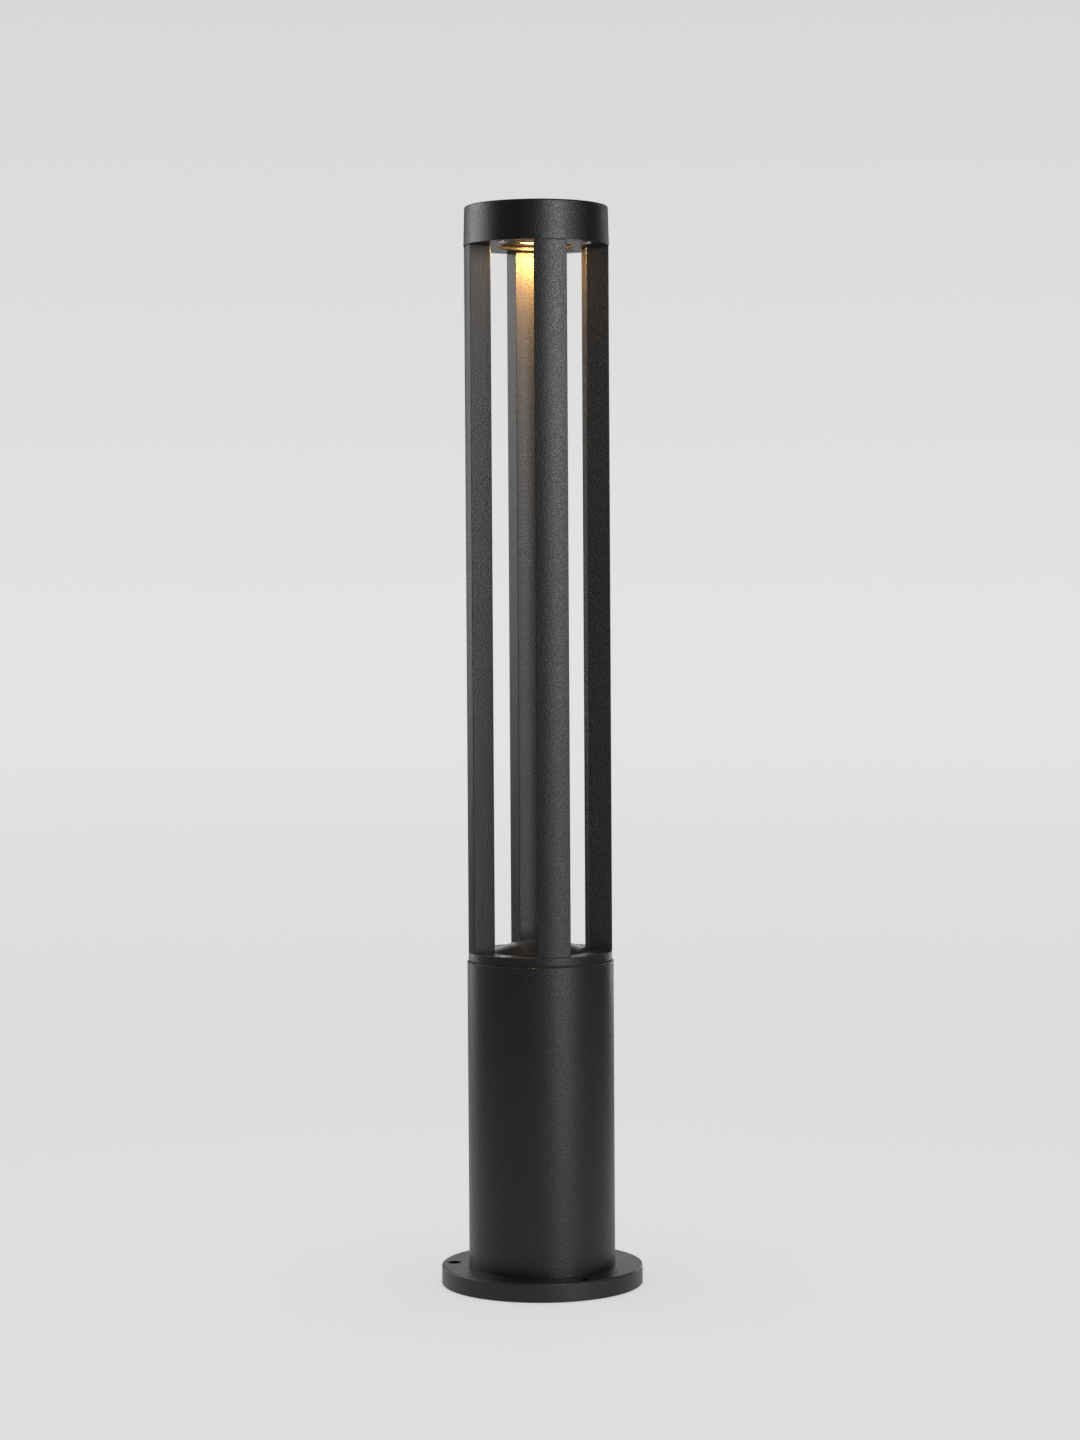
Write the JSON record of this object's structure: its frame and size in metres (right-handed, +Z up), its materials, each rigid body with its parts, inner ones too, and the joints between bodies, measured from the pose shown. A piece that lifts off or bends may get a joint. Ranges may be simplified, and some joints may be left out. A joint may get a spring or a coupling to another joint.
{
  "type": "bollard light",
  "caption": "Round bollard light: a bolted tubular post carries an open lantern of upright pillars under a head that shines down onto a low dome.",
  "frame": {"origin": "centre of the base flange's underside, on the ground", "axes": "+Z up along the post; the pillars stand on +X, +Y, -X and -Y; -Y is the front"},
  "size_m": [0.15, 0.15, 0.8],
  "materials": {
    "powder_coat": "matte",
    "dome_coat": "satin",
    "stainless": "satin",
    "zinc_steel": "satin",
    "black_rubber": "matte",
    "bare_aluminium": "satin",
    "galvanised_tray": "matte",
    "black_plastic": "satin",
    "white_plastic": "matte",
    "grey_plastic": "matte",
    "brass": "satin",
    "tinned_copper": "satin",
    "thermal_grey": "matte",
    "board_white": "satin",
    "phosphor": "satin",
    "frosted_glass": "matte",
    "reflector_white": "gloss",
    "lead_black": "matte",
    "lead_brown": "matte",
    "lead_blue": "matte",
    "lead_earth": "matte"
  },
  "bodies": {
    "root": {"base_flange": "powder_coat", "base_tube": "powder_coat", "collar": "powder_coat", "head_cap": "powder_coat", "head_plate": "powder_coat", "pillar_front": "powder_coat", "pillar_right": "powder_coat", "pillar_rear": "powder_coat", "pillar_left": "powder_coat", "reflector_dome": "dome_coat", "collar_screws": "stainless", "cap_screws": "stainless", "tube_screws": "stainless", "pillar_bottom_screws": "zinc_steel", "pillar_top_screws": "zinc_steel", "tray_screws": "zinc_steel", "driver_screws": "zinc_steel", "block_screws": "zinc_steel", "cable_clamp": "zinc_steel", "cable_clamp_screws": "zinc_steel", "earth_screw": "zinc_steel", "terminal_screws": "zinc_steel", "dome_screw": "zinc_steel", "dome_washer": "zinc_steel", "bezel_ring_screws": "zinc_steel", "heat_sink_screws": "zinc_steel", "heat_sink_spacers": "zinc_steel", "bezel_ring": "bare_aluminium", "cable_grommet": "black_rubber", "collar_gasket": "black_rubber", "pillar_bottom_pads": "black_rubber", "pillar_top_pads": "black_rubber", "cap_gasket": "black_rubber", "bezel_seal": "black_rubber", "lens_seal": "black_rubber", "gear_tray": "galvanised_tray", "led_driver": "white_plastic", "terminal_block": "grey_plastic", "terminal_clamps": "brass", "earth_tag": "tinned_copper", "earth_lead": "lead_earth", "live_lead": "lead_brown", "neutral_lead": "lead_blue", "lamp_lead": "lead_black", "lead_connector": "white_plastic", "lamp_bezel": "black_plastic", "lamp_lens": "frosted_glass", "light_cup": "reflector_white", "led_board": "board_white", "led_emitter": "phosphor", "thermal_pad": "thermal_grey", "heat_sink": "bare_aluminium"}
  },
  "joints": []
}
